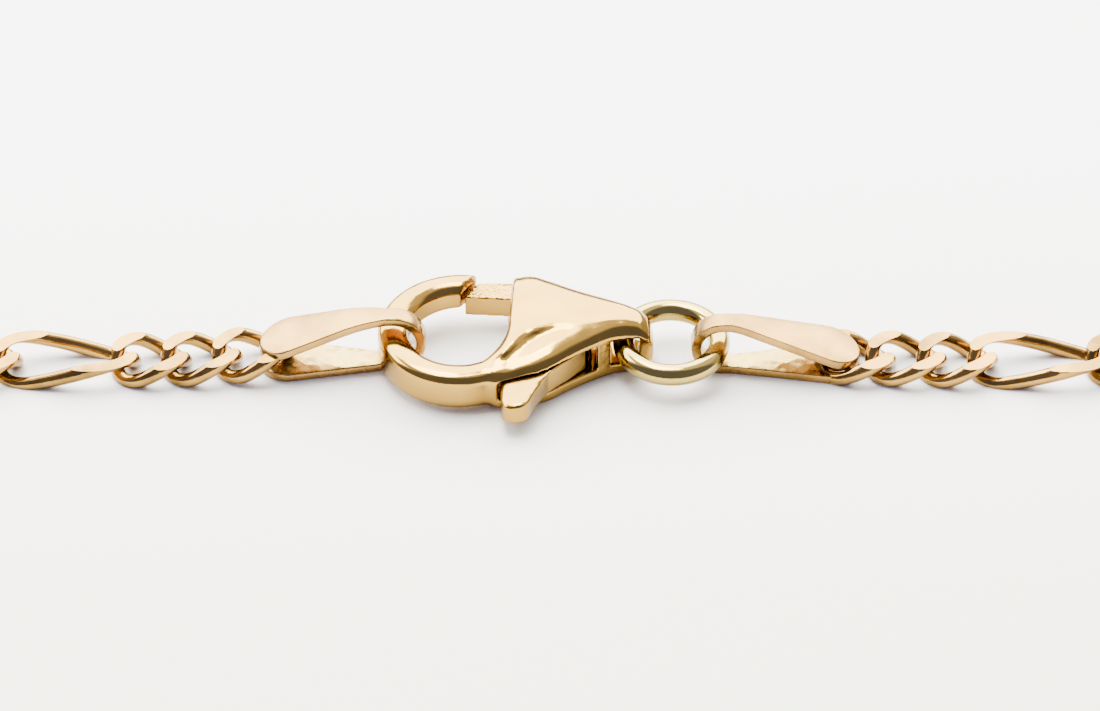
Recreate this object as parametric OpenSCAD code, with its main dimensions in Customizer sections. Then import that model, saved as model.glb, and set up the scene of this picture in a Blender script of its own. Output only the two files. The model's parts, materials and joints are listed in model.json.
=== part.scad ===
// Figaro neck chain with a lobster claw clasp, fastened and laid flat in one loop.
// Millimetres, +Z up. The chain rests on z = 0 and its clasp lies along X at the front.

/* [Chain] */
// Width of the chain across its flat links
chain_w = 2.9; // [2.7:0.1:3.4]
// Thickness between the two flattened faces of the links
chain_t = 1.15; // [1.0:0.05:1.3]
// Outer length of a short link
short_l = 3.6; // [3.56:0.02:3.8]
// Outer length of a long link
long_l = 6.5; // [5.6:0.1:7]
// Thickness of the link wire, seen in the plane of the link
wire_t = 0.62; // [0.58:0.02:0.64]
// Width of the link wire, across the plane of the link
wire_w = 0.7; // [0.62:0.02:0.74]
// Free play between two linked wires
link_play = 0.26; // [0.25:0.01:0.3]
// Twist of a link from its middle to each of its ends, in degrees
link_twist = 45; // [40:1:48]
// How blunt the ends of a link are, where 2 is an ellipse
link_bluntness = 2.6; // [2.5:0.1:3]
// Number of short links between two long links
shorts = 3; // [3:1:4]
// Number of long links in the whole chain
longs = 36; // [30:1:40]

/* [Layout] */
// Length of the straight stretch that holds the clasp, and of the one opposite
straight_l = 60; // [56:2:80]
// How far the clasp's centre line lies behind that of the chain
clasp_y = 0.5; // [0.3:0.05:0.6]
// How far the left tag's centre line lies behind that of the chain
left_tag_y = 0.38; // [0.3:0.02:0.5]
// How far the right tag's centre line lies behind that of the chain, at its link
right_tag_y = 0.24; // [0.2:0.02:0.3]
// Turn of the right tag, whose fold lies further in front, in degrees
right_tag_turn = 1; // [0:0.5:2]
// How far the jump ring's centre lies in front of the clasp's centre line
ring_shift = 0.1; // [0:0.02:0.2]
// Length over which the chain climbs to the gap of each tag
climb_l = 5.5; // [4:0.5:8]
// Gap between pieces that hang in each other
fit_gap = 0.12; // [0.1:0.01:0.16]

/* [End tags] */
// Length of the left tag from its round end to its fold
left_tag_l = 7.25; // [6.9:0.05:8]
// Length of the right tag from its round end to its fold
right_tag_l = 7.35; // [6.9:0.05:8]
// Width of a tag at its round end
tag_w = 2.4; // [2.2:0.1:2.8]
// Width of a tag at its fold
neck_w = 0.86; // [0.8:0.02:1]
// Thickness of the tag's strip
tag_t = 0.42; // [0.36:0.02:0.46]
// Height of the left tag's fold over its outer faces
left_fold_h = 2.9; // [2.8:0.05:3.1]
// Height of the right tag's fold over its outer faces
right_fold_h = 2.75; // [2.7:0.05:3]
// Length of the straight neck before the fold's end
neck_l = 1.75; // [1.5:0.05:2]
// Slope of the upper strip down to the round end, in degrees
tag_slope = 19; // [17:0.5:20]
// Radius of the arch in the upper strip of the left tag
left_arch_r = 7; // [5:0.5:8]
// Radius of the arch in the upper strip of the right tag
right_arch_r = 3.5; // [3:0.5:6]
// Distance of the soldered link's end wire from the left tag's round end
left_seat_l = 1.2; // [1.1:0.1:1.6]
// Distance of the soldered link's end wire from the right tag's round end
right_seat_l = 1.7; // [1.4:0.1:1.9]
// Play of the left tag on the hook
hook_play = 0.4; // [0.38:0.02:0.46]

/* [Jump ring] */
// Outer diameter of the jump ring
ring_od = 5.1; // [4.9:0.1:6]
// Wire diameter of the jump ring
ring_wire = 0.95; // [0.8:0.05:1]
// Slope of the ring, whose back lies higher than its front, in degrees
ring_tilt = 3; // [0:0.5:4]
// Play of the right tag on the ring
ring_play = 0.17; // [0.15:0.01:0.2]

/* [Clasp] */
// Place along X of the centre of the clasp's hook
hook_x = -4.0; // [-5:0.1:-3]
// How far the hook's centre lies behind the clasp's centre line
hook_y = 0.08; // [0:0.02:0.1]
// Inner radius of the hook
hook_ri = 2.2; // [2.1:0.1:2.6]
// Length of the hook's opening, up to the body
opening_l = 4.55; // [4.4:0.05:4.7]
// Width of the hook's arm, seen from above
hook_w = 1.3; // [1.2:0.05:1.4]
// Height of the hook's crown at its centre
hook_h = 2.05; // [1.95:0.05:2.15]
// Radius of the crown across the hook's arm
crown_r = 1.6; // [1.4:0.1:2]
// Radius of the rounding between the hook's crown and its outer wall
crown_round = 0.35; // [0.3:0.05:0.4]
// Slope of the hook's crown up to its tip, in degrees
crown_rise = 3.9; // [3:0.1:4.5]
// Height of the hook's underside at its centre
hook_lift = 0.64; // [0.62:0.02:0.7]
// Slope of the hook's underside up to its tip, in degrees
hook_rise = 7; // [6:0.5:9]
// Chamfer along the hook's lower edges
hook_chamfer = 0.34; // [0.3:0.02:0.4]
// Turn of the seam between hook and gate from the X axis, in degrees
seam_at = 82; // [78:1:86]
// Length of the body from the hook's opening to the tail
body_l = 6.0; // [5.8:0.1:7]
// Largest half width of the body
body_half_w = 3.0; // [2.9:0.05:3.2]
// Height of the body
body_h = 2.6; // [2.5:0.05:2.8]
// Thickness of the body's lower shell
shell_t = 0.56; // [0.5:0.02:0.6]
// Height of the slot between the two shells
slot_h = 1.3; // [1.26:0.02:1.36]
// Thickness of the tail's wall
tail_t = 0.45; // [0.4:0.02:0.5]
// Length of the eye in the tail that the jump ring passes
eye_l = 1.3; // [1.25:0.05:1.4]
// Length of the post between the eye and the lever's room
post_l = 0.5; // [0.4:0.05:0.6]

/* [Lever] */
// Gap between the lever and the shells above and below it
lever_gap = 0.08; // [0.06:0.01:0.1]
// Radius of the lever's hub
hub_r = 1.05; // [0.9:0.05:1.1]
// Radius of the pivot pin
pin_r = 0.35; // [0.3:0.01:0.4]
// Clearance round the pivot pin in the lever
pin_play = 0.05; // [0.03:0.01:0.07]
// Distance of the pivot from the post
pivot_back = 1.2; // [1.2:0.05:1.4]
// Distance of the pivot behind the clasp's centre line
pivot_y = 0.1; // [0:0.05:0.2]
// Distance of the lever's front cheek from the post, which leaves it room to swing
cheek_gap = 0.5; // [0.45:0.05:0.7]
// How far the lever's front cheek reaches in front of the clasp's centre line
cheek_reach = 1.1; // [0.9:0.05:1.15]
// Distance of the gate's outer face behind the clasp's centre line
gate_out = 3.4; // [3.2:0.05:3.5]
// Thickness of the gate at its tip
gate_tip_t = 0.95; // [0.8:0.05:1.05]
// Thickness of the gate at its root
gate_root_t = 1.15; // [0.9:0.05:1.2]
// Gap between the gate's tip and the hook's tip
seam_gap = 0.1; // [0.08:0.01:0.16]
// Width of the thumb knob
knob_w = 1.3; // [1.2:0.05:1.4]
// How far in front of the clasp's centre line the thumb arm bends into the knob
elbow_reach = 2.9; // [2.8:0.05:3]
// How far in front of the clasp's centre line the straight knob starts
knob_start = 3.45; // [3.3:0.05:3.6]
// How far the thumb knob reaches in front of the clasp's centre line
knob_reach = 4.8; // [4.6:0.1:5]

/* [Hidden] */
round_fn = 64;
edge_fn = 32;
wire_rings = 10;
wire_sides = 5;
link_gold = [0.85, 0.66, 0.38];
tag_gold = [0.9, 0.68, 0.5];
clasp_gold = [0.92, 0.76, 0.45];
ring_gold = [0.86, 0.78, 0.52];
// Longer than the clasp, for cuts that run right through
reach = 20;

// Small steps of the clasp
crown_share = 0.55;
slot_share = 0.8;
rim_in = 0.42;
rim_drop = 0.35;
rim_bulge = 0.35;
hook_lap = 20;
hook_root = 345;
heel = 0.12;
gate_inset = 0.06;
gate_drop = 0.18;
hub_back_turn = 70;
hub_front_turn = -30;
elbow_out = 0.58;
pin_wall = 0.2;
pin_seat_gap = 0.01;
ring_headroom = 0.14;

// Chain: number of links and their half lengths, along the middle of the wire
links = longs * (shorts + 1) + shorts;
half_links = floor((links - 1) / 2);
strand_b = (chain_w - wire_t) / 2;
short_a = (short_l - wire_t) / 2;
long_a = (long_l - wire_t) / 2;
// The wire has a flat side inwards, so two wires touch when they are this far apart
flat_share = cos(180 / wire_sides);
wire_step = flat_share * wire_t + link_play;
chain_l = (links - longs) * 2 * short_a + longs * 2 * long_a - (links - 1) * wire_step;

// Places of the clasp's parts along X, from the hook's centre to the tail
hook_ro = hook_ri + hook_w;
hook_mid_r = hook_ri + hook_w / 2;
slot_x = hook_x + slot_share * hook_ri;
body_x = hook_x - hook_ri + opening_l;
tail_x = body_x + body_l;
eye_x = tail_x - tail_t - eye_l;
post_x = eye_x - post_l;
pivot_x = post_x - pivot_back;
lever_z = shell_t + lever_gap;
lever_h = slot_h - 2 * lever_gap;
knob_x = slot_x + fit_gap;
seam_x = hook_x + hook_mid_r * cos(seam_at);
seam_y = hook_y + hook_mid_r * sin(seam_at);
seam_r = norm([seam_x - pivot_x, seam_y - pivot_y]);
pin_h = body_h - 2 * pin_wall;

// The ring lies high in the eye, and the right tag's near edge clears its inner side
ring_x = eye_x + fit_gap + ring_od / 2;
ring_y = clasp_y - ring_shift;
ring_z = shell_t + slot_h - ring_headroom - ring_wire / 2;
ring_ri = ring_od / 2 - ring_wire;
right_run = right_tag_l - right_seat_l;
right_fold_y = right_tag_y - right_run * sin(right_tag_turn);
edge_y = right_fold_y - neck_w / 2 - ring_y;
right_fold_x = ring_x + sqrt(ring_ri * ring_ri - edge_y * edge_y) - ring_play - tag_t;
right_seat_x = right_fold_x + right_run * cos(right_tag_turn);
left_fold_x = hook_x - hook_ri + hook_play + tag_t;
left_seat_x = left_fold_x - left_tag_l + left_seat_l;

// The loop is two straight stretches and two half circles
bend_r = (chain_l + right_seat_x - left_seat_x - 2 * straight_l) / (2 * PI);
bend_l = PI * bend_r;
left_run = left_seat_x + straight_l / 2;
loop_front = clasp_y - knob_reach;
loop_back = 2 * bend_r + chain_w / 2;
front_y = -(loop_front + loop_back) / 2;

// Height of the middle of a tag's gap at the seat of its link
function seat_z(tag_l, fold_h, arch_r, seat_l) =
    let (
        drop = arch_r * (1 - cos(tag_slope)),
        run = tag_l - fold_h / 2 - arch_r * sin(tag_slope) - seat_l
    )
    (fold_h - drop - run * tan(tag_slope) - tag_t / cos(tag_slope) + tag_t) / 2;

// How far each seat lies behind and above the flat chain
left_climb = [0, left_tag_y, seat_z(left_tag_l, left_fold_h, left_arch_r, left_seat_l) - chain_t / 2];
right_climb = [0, right_tag_y, seat_z(right_tag_l, right_fold_h, right_arch_r, right_seat_l) - chain_t / 2];

function unit(v) = v / norm(v);
function bent(v) = sign(v) * pow(abs(v), 2 / link_bluntness);
function steep(v, size) = sign(v) * pow(abs(v) / size, link_bluntness - 1) / size;
function clamped(v, limit) = max(-limit, min(limit, v));
function is_long(i) = i % (shorts + 1) == shorts;
function link_a(i) = is_long(i) ? long_a : short_a;
function climb(s) = pow(max(0, 1 - s / climb_l), 2);

// Distance along the route of the near end of link i
function link_start(i) =
    let (before = floor(i / (shorts + 1)))
    (i - before) * (2 * short_a - wire_step) + before * (2 * long_a - wire_step);

// Point of the half circle at one end of the loop, side -1 on the left and 1 on the right
function on_bend(s, side) =
    let (turn = 180 * s / bend_l)
    [side * (straight_l / 2 + bend_r * sin(turn)), bend_r * (1 + side * cos(turn)), chain_t / 2];

// Point of the flat loop at a distance from the left tag's seat
function route(s) =
    let (on_left = s - left_run, on_back = on_left - bend_l, on_right = on_back - straight_l)
    on_left < 0 ? [left_seat_x - s, 0, chain_t / 2]
    : on_back < 0 ? on_bend(on_left, -1)
    : on_right < 0 ? [on_back - straight_l / 2, 2 * bend_r, chain_t / 2]
    : on_right < bend_l ? on_bend(on_right, 1)
    : [straight_l / 2 + bend_l - on_right, 0, chain_t / 2];

// The same point, with the chain's climb to the tags at its two ends
function spot(s) = route(s) + climb(s) * left_climb + climb(chain_l - s) * right_climb;

// One ring of wire corners for each step round a twisted loop of half length a.
// A long link has the bows of a short one, with a longer middle between them.
function link_shape(a) = [
    for (k = [0:wire_rings - 1])
        let (
            bow_x = short_a * bent(cos(k * 360 / wire_rings)),
            x = bow_x + sign(bow_x) * (a - short_a),
            rho = strand_b * bent(sin(k * 360 / wire_rings)),
            twist = link_twist * x / a,
            out_x = steep(bow_x, short_a),
            out_rho = steep(rho, strand_b),
            across = [0, cos(twist), -sin(twist)],
            round_x = [0, -sin(twist), -cos(twist)],
            turn = -out_rho * rho * link_twist * PI / 180 / a,
            along = unit([-out_rho, 0, 0] + out_x * across + turn * round_x),
            side = unit(cross(along, [out_x, 0, 0] + out_rho * across)),
            outward = cross(side, along)
        )
        for (j = [0:wire_sides - 1])
            let (
                corner = j * 360 / wire_sides,
                p = [x, 0, 0] + rho * across
                    + wire_t / 2 * cos(corner) * outward + wire_w / 2 * sin(corner) * side
            )
            [p.x, p.y, clamped(p.z, chain_t / 2)]
];
short_shape = link_shape(short_a);
long_shape = link_shape(long_a);

// Corners of link i, laid with its length between two spots of the route
function chain_link(i) =
    let (
        near = spot(link_start(i)),
        far = spot(link_start(i) + 2 * link_a(i)),
        ax = unit(far - near),
        ay = unit(cross([0, 0, 1], ax)),
        az = cross(ax, ay)
    )
    [for (p = is_long(i) ? long_shape : short_shape) (near + far) / 2 + p.x * ax + p.y * ay + p.z * az];

// Triangles of closed wires, one wire after another
function wire_faces(count) = [
    for (i = [0:count - 1])
        for (k = [0:wire_rings - 1])
            for (j = [0:wire_sides - 1])
                let (
                    base = i * wire_rings * wire_sides,
                    k2 = (k + 1) % wire_rings,
                    j2 = (j + 1) % wire_sides,
                    a = base + k * wire_sides + j,
                    b = base + k * wire_sides + j2,
                    c = base + k2 * wire_sides + j2,
                    d = base + k2 * wire_sides + j
                )
                for (face = [[a, c, b], [a, d, c]])
                    face
];

module links_between(first, last) {
    points = [for (i = [first:last]) each chain_link(i)];
    polyhedron(points, wire_faces(last - first + 1), convexity = 10);
}

module chain_left() {
    color(link_gold) translate([0, front_y, 0]) links_between(1, half_links);
}

module chain_right() {
    color(link_gold) translate([0, front_y, 0]) links_between(half_links + 1, links - 2);
}

// Tag: its outline from above, with the round end at x = 0
module tag_outline(tag_l) {
    end_r = tag_w / 2;
    neck_x = tag_l - neck_l;
    to_neck = [neck_x - end_r, neck_w / 2];
    touch = atan2(to_neck.y, to_neck.x) + acos(end_r / norm(to_neck));
    edge = [end_r * (1 + cos(touch)), end_r * sin(touch)];
    translate([end_r, 0]) circle(end_r, $fn = round_fn);
    polygon([
        edge,
        [neck_x, neck_w / 2],
        [reach, neck_w / 2],
        [reach, -neck_w / 2],
        [neck_x, -neck_w / 2],
        [edge.x, -edge.y]
    ]);
}

// Tag: the folded strip from the side, where y is the height
module tag_profile(tag_l, fold_h, arch_r) {
    fold_r = fold_h / 2;
    fold_x = tag_l - fold_r;
    arch_end = [fold_x - arch_r * sin(tag_slope), fold_h - arch_r * (1 - cos(tag_slope))];
    inward = tag_t * [sin(tag_slope), -cos(tag_slope)];
    down = -reach * [cos(tag_slope), sin(tag_slope)];
    square([fold_x, tag_t]);
    difference() {
        translate([fold_x, fold_r]) circle(fold_r, $fn = round_fn);
        translate([fold_x, fold_r]) circle(fold_r - tag_t, $fn = round_fn);
        translate([fold_x - reach, -reach / 2]) square([reach, reach]);
    }
    intersection() {
        difference() {
            translate([fold_x, fold_h - arch_r]) circle(arch_r, $fn = round_fn);
            translate([fold_x, fold_h - arch_r]) circle(arch_r - tag_t, $fn = round_fn);
        }
        polygon([
            [fold_x, fold_h - arch_r],
            [fold_x, reach],
            [fold_x - (reach - fold_h + arch_r) * tan(tag_slope), reach]
        ]);
    }
    polygon([arch_end, arch_end + inward, arch_end + inward + down, arch_end + down]);
}

// Tag with the seat of its link at x = 0 and its fold on the +X side
module folded_tag(tag_l, fold_h, arch_r, seat_l) {
    translate([-seat_l, 0, 0])
        intersection() {
            linear_extrude(fold_h) tag_outline(tag_l);
            rotate([90, 0, 0])
                translate([0, 0, -tag_w])
                    linear_extrude(2 * tag_w) tag_profile(tag_l, fold_h, arch_r);
        }
}

module tag_left() {
    color(tag_gold) translate([0, front_y, 0]) {
        translate([left_seat_x, left_tag_y, 0])
            folded_tag(left_tag_l, left_fold_h, left_arch_r, left_seat_l);
        links_between(0, 0);
    }
}

module tag_right() {
    color(tag_gold) translate([0, front_y, 0]) {
        translate([right_seat_x, right_tag_y, 0])
            rotate([0, 0, right_tag_turn])
                mirror([1, 0, 0])
                    folded_tag(right_tag_l, right_fold_h, right_arch_r, right_seat_l);
        links_between(links - 1, links - 1);
    }
}

module jump_ring() {
    color(ring_gold)
        translate([ring_x, front_y + ring_y, ring_z])
            rotate([ring_tilt, 0, 0])
                rotate_extrude($fn = round_fn)
                    translate([(ring_od - ring_wire) / 2, 0]) circle(ring_wire / 2, $fn = edge_fn);
}

// Body sections from the hook to the tail: shares of the body's length,
// of its half width in front and behind, and of its height above and below
SECTION_SHARE = 0;
FRONT_SHARE = 1;
BACK_SHARE = 2;
TOP_SHARE = 3;
FLOOR_SHARE = 4;
BODY_SECTIONS = [
    [0.00, 1.00, 0.92, 0.88, 0.00],
    [0.05, 1.00, 0.99, 0.93, 0.00],
    [0.14, 0.97, 1.00, 0.98, 0.00],
    [0.26, 0.89, 0.90, 1.00, 0.00],
    [0.42, 0.66, 0.73, 1.00, 0.00],
    [0.61, 0.41, 0.54, 1.00, 0.00],
    [0.75, 0.27, 0.41, 0.98, 0.00],
    [0.85, 0.23, 0.32, 0.95, 0.00],
    [0.93, 0.21, 0.25, 0.87, 0.02],
    [0.98, 0.19, 0.20, 0.72, 0.12],
    [1.00, 0.15, 0.15, 0.56, 0.29]
];

// Sections of the front shoulder, where the hook's arm rises and widens into the body
SHOULDER_SECTIONS = [
    [-0.20, 1.06, -0.66, 0.69, 0.14],
    [-0.10, 1.00, -0.46, 0.79, 0.10],
    [0.05, 1.00, -0.30, 0.92, 0.00]
];

// Corners of one section, from the heel in front, up and over to the heel behind
function body_ring(row) =
    let (
        x = body_x + body_l * row[SECTION_SHARE],
        front = -body_half_w * row[FRONT_SHARE],
        back = body_half_w * row[BACK_SHARE],
        top = body_h * row[TOP_SHARE],
        floor_z = body_h * row[FLOOR_SHARE],
        in = min(rim_in, (back - front) / 3),
        drop = min(rim_drop, (top - floor_z) / 3)
    )
    [
        [x, front + heel, floor_z],
        [x, front, floor_z + heel],
        [x, front, top - drop],
        [x, front + in * rim_bulge, top - drop * rim_bulge],
        [x, front + in, top],
        [x, back - in, top],
        [x, back - in * rim_bulge, top - drop * rim_bulge],
        [x, back, top - drop],
        [x, back, floor_z + heel],
        [x, back - heel, floor_z]
    ];

// A closed solid through sections that have the same number of corners
module loft(rings) {
    count = len(rings[0]);
    last = len(rings) - 1;
    sides = [
        for (i = [0:last - 1])
            for (j = [0:count - 1])
                let (
                    j2 = (j + 1) % count,
                    a = i * count + j,
                    b = i * count + j2,
                    c = (i + 1) * count + j2,
                    d = (i + 1) * count + j
                )
                for (face = [[a, b, c], [a, c, d]])
                    face
    ];
    near_cap = [for (j = [count - 1:-1:0]) j];
    far_cap = [for (j = [0:count - 1]) last * count + j];
    polyhedron([for (ring = rings) each ring], concat(sides, [near_cap, far_cap]), convexity = 6);
}

// Section of the hook's arm: upright walls under a flat crown that rolls over to the outer wall
module hook_section() {
    crown_x = hook_ri + crown_share * hook_w;
    crown_z = hook_h - crown_r;
    round_x = hook_ro - crown_round;
    round_z = crown_z + sqrt(pow(crown_r - crown_round, 2) - pow(round_x - crown_x, 2));
    intersection() {
        translate([crown_x, crown_z]) circle(crown_r, $fn = round_fn);
        union() {
            translate([hook_ri, 0]) square([hook_w - crown_round, hook_h]);
            translate([hook_ri, 0]) square([hook_w, round_z]);
            translate([round_x, round_z]) circle(crown_round, $fn = round_fn);
        }
    }
}

// What lies below the hook's underside, with a chamfer along both of its lower edges
module under_hook() {
    translate([-reach / 2, -reach / 2, -reach]) cube([reach, reach, reach]);
    cylinder(h = hook_chamfer, r1 = hook_ri + hook_chamfer, r2 = hook_ri, $fn = round_fn);
    difference() {
        cylinder(h = hook_chamfer, r = reach / 2, $fn = round_fn);
        cylinder(h = hook_chamfer, r1 = hook_ro - hook_chamfer, r2 = hook_ro, $fn = round_fn);
    }
}

// Upright cylinder about the pivot, on whose rim hook and gate meet
module about_pivot(r, h) {
    translate([pivot_x, pivot_y, 0]) cylinder(r = r, h = h, $fn = round_fn);
}

module hook() {
    hook_from = seam_at - hook_lap;
    difference() {
        translate([hook_x, hook_y, 0])
            rotate([crown_rise, 0, 0])
                rotate_extrude(angle = hook_root - hook_from, start = hook_from, $fn = round_fn)
                    hook_section();
        intersection() {
            about_pivot(seam_r, 2 * body_h);
            translate([hook_x - hook_w, 0, 0]) cube([reach, reach, reach]);
        }
        translate([hook_x, hook_y, hook_lift]) rotate([hook_rise, 0, 0]) under_hook();
    }
}

// The eye in the tail, flared at both mouths to clear the inner side of the ring
module eye() {
    translate([eye_x, -reach / 2, shell_t]) cube([eye_l, reach, slot_h]);
    difference() {
        translate([eye_x, -reach / 2, shell_t]) cube([reach, reach, slot_h]);
        translate([ring_x, ring_y - clasp_y, 0])
            cylinder(r = ring_ri - fit_gap, h = body_h, $fn = round_fn);
    }
}

module clasp_body() {
    color(clasp_gold) translate([0, front_y + clasp_y, 0])
        difference() {
            union() {
                hook();
                loft([for (row = SHOULDER_SECTIONS) body_ring(row)]);
                loft([for (row = BODY_SECTIONS) body_ring(row)]);
            }
            translate([slot_x, -reach / 2, shell_t]) cube([post_x - slot_x, reach, slot_h]);
            eye();
            translate([0, 0, pin_wall]) about_pivot(pin_r + pin_seat_gap, pin_h);
        }
}

module pivot_pin() {
    color(clasp_gold)
        translate([0, front_y + clasp_y, pin_wall + pin_seat_gap])
            about_pivot(pin_r, pin_h - 2 * pin_seat_gap);
}

// Point on the rim of the lever's hub
function on_hub(angle) = [pivot_x + hub_r * cos(angle), pivot_y + hub_r * sin(angle)];

// The lever's hub and arms from above
module lever_plan() {
    difference() {
        union() {
            translate([pivot_x, pivot_y]) circle(hub_r, $fn = round_fn);
            polygon([
                [body_x, gate_out - gate_root_t],
                [body_x, gate_out - gate_drop],
                [body_x + rim_in, gate_out - 2 * gate_drop],
                on_hub(hub_back_turn),
                on_hub(hub_front_turn),
                [post_x - cheek_gap, -cheek_reach],
                [knob_x + knob_w + elbow_out, -elbow_reach],
                [knob_x + knob_w, -knob_start],
                [knob_x + knob_w, -knob_reach],
                [knob_x, -knob_reach],
                [knob_x, -hook_ri / 2]
            ]);
        }
        translate([hook_x, hook_y]) circle(hook_ri + fit_gap, $fn = round_fn);
    }
}

// The gate from above, up to the seam that cuts it
module gate_plan() {
    polygon([
        [body_x + rim_in, gate_out - gate_root_t],
        [body_x + rim_in, gate_out],
        [hook_x, gate_out],
        [hook_x - hook_w, gate_out - gate_tip_t],
        [hook_x, gate_out - gate_tip_t]
    ]);
}

module clasp_lever() {
    color(clasp_gold) translate([0, front_y + clasp_y, 0])
        difference() {
            union() {
                translate([0, 0, lever_z]) linear_extrude(lever_h) lever_plan();
                intersection() {
                    translate([0, 0, lever_z + gate_inset])
                        linear_extrude(lever_h - 2 * gate_inset) gate_plan();
                    about_pivot(seam_r - seam_gap, body_h);
                }
            }
            about_pivot(pin_r + pin_play, body_h);
        }
}

chain_left();
chain_right();
tag_left();
tag_right();
jump_ring();
clasp_body();
clasp_lever();
pivot_pin();
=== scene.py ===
"""A figaro neck chain with a lobster claw clasp, fastened and laid flat on a pale floor."""

import json
import math

import bmesh
import bpy
import numpy as np
from mathutils import Matrix, Vector

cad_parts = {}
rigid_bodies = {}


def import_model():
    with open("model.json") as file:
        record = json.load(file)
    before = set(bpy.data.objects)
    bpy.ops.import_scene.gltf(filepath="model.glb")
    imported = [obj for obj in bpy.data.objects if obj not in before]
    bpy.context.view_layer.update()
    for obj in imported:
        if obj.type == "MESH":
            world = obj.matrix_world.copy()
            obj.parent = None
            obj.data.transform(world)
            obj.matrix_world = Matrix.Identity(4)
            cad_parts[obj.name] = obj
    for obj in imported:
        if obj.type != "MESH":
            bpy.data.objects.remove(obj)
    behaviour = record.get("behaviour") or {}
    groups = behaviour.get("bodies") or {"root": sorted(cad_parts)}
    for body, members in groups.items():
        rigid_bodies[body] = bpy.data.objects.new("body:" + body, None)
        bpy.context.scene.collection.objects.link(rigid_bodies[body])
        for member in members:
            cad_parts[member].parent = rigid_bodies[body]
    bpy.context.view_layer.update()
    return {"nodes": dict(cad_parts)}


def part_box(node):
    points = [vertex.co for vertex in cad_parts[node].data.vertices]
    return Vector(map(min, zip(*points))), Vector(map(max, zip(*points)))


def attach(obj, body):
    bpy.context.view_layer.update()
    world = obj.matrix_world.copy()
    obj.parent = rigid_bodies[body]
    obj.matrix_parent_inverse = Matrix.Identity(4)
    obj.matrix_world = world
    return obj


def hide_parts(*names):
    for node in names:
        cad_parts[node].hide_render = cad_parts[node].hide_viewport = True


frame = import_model()

# The camera looks down on the clasp, at the front of the loop, as in the photograph.
# Sizes in this script are millimetres, and a finished mesh is brought to metres.
# The image is taken to be 1100 x 711 pixels, and 23 of them show one millimetre at the clasp.
MM = 0.001
image_width = 1100
pixels_per_mm = 23
camera_distance = 225
camera_elevation = math.radians(40)
image_drop_pixels = 4.5

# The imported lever's front gives the place of the clasp, which is set back a little from the loop's front
knob_reach = 4.8
clasp_set_back = 0.5
chain_t = 1.15
clasp_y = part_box("clasp_lever")[0].y / MM + knob_reach
front_y = clasp_y - clasp_set_back

camera_data = bpy.data.cameras.new("camera")
camera_data.lens = camera_data.sensor_width * camera_distance * pixels_per_mm / image_width
camera_data.clip_start = 0.01
camera = bpy.data.objects.new("camera", camera_data)
bpy.context.scene.collection.objects.link(camera)
camera_back = Vector((0, -math.cos(camera_elevation), math.sin(camera_elevation)))
camera_up = Vector((0, math.sin(camera_elevation), math.cos(camera_elevation)))
camera_aim = Vector((0, front_y, chain_t / 2)) + image_drop_pixels / pixels_per_mm * camera_up
camera.location = (camera_aim + camera_distance * camera_back) * MM
camera.rotation_euler = camera_back.to_track_quat("Z", "Y").to_euler()
bpy.context.scene.camera = camera


# The studio is a pale paper floor, with one large soft light behind it and two smaller ones.
# The room is white overhead, grey low behind and dark in front, which polished gold mirrors as streaks.

# Paper: nearly white with a fine grain, and painted shade that makes it darker and cream in front, fading
# to nearly white across the front of the loop
paper_in_painted_shade = (0.84, 0.81, 0.69)
paper_far = (0.98, 0.97, 0.95)
painted_shade_span = (-14, 16)
paper_grain = 0.9
paper_bump = 0.03
paper_size = 1600

# Room: where it turns white overhead and dark in front, as parts of a direction of length one
room_white = (1.0, 0.97, 0.92)
room_grey = (0.60, 0.55, 0.48)
room_dark = (0.16, 0.17, 0.30)
room_strength = 2.0
white_from_height = 0.50
white_to_height = 0.72
dark_to_depth = -0.25
dark_from_depth = -0.02

# Softboxes: place, width, height and power in watts
SOFTBOXES = {
    "softbox_behind": ((-20, front_y + 380, 330), 1000, 440, 24.0),
    "softbox_above": ((-60, front_y + 110, 430), 200, 200, 4.0),
    "softbox_left": ((-330, front_y + 60, 260), 160, 160, 1.5),
}


def node_adder(tree):
    """A short way to add a node to a tree, with what feeds its inputs, and its settings."""
    def add(kind, inputs=None, **settings):
        node = tree.nodes.new(kind)
        for name, value in settings.items():
            setattr(node, name, value)
        for name, source in (inputs or {}).items():
            if isinstance(source, bpy.types.NodeSocket):
                tree.links.new(source, node.inputs[name])
            else:
                node.inputs[name].default_value = source
        return node

    return add


def new_nodes(owner):
    """An empty node tree on a material or world, ready to be added to."""
    owner.use_nodes = True
    owner.node_tree.nodes.clear()
    return node_adder(owner.node_tree)


def add_ramp(add, factor, stops):
    """A colour ramp through stops of position and colour."""
    ramp = add("ShaderNodeValToRGB", {"Fac": factor})
    while len(ramp.color_ramp.elements) < len(stops):
        ramp.color_ramp.elements.new(0.5)
    for element, (position, colour) in zip(ramp.color_ramp.elements, stops):
        element.position = position
        element.color = (*colour, 1)
    return ramp.outputs["Color"]


paper = bpy.data.materials.new("paper_floor")
add = new_nodes(paper)
place = add("ShaderNodeTexCoord").outputs["Object"]
depth = add("ShaderNodeSeparateXYZ", {"Vector": place}).outputs["Y"]
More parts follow.
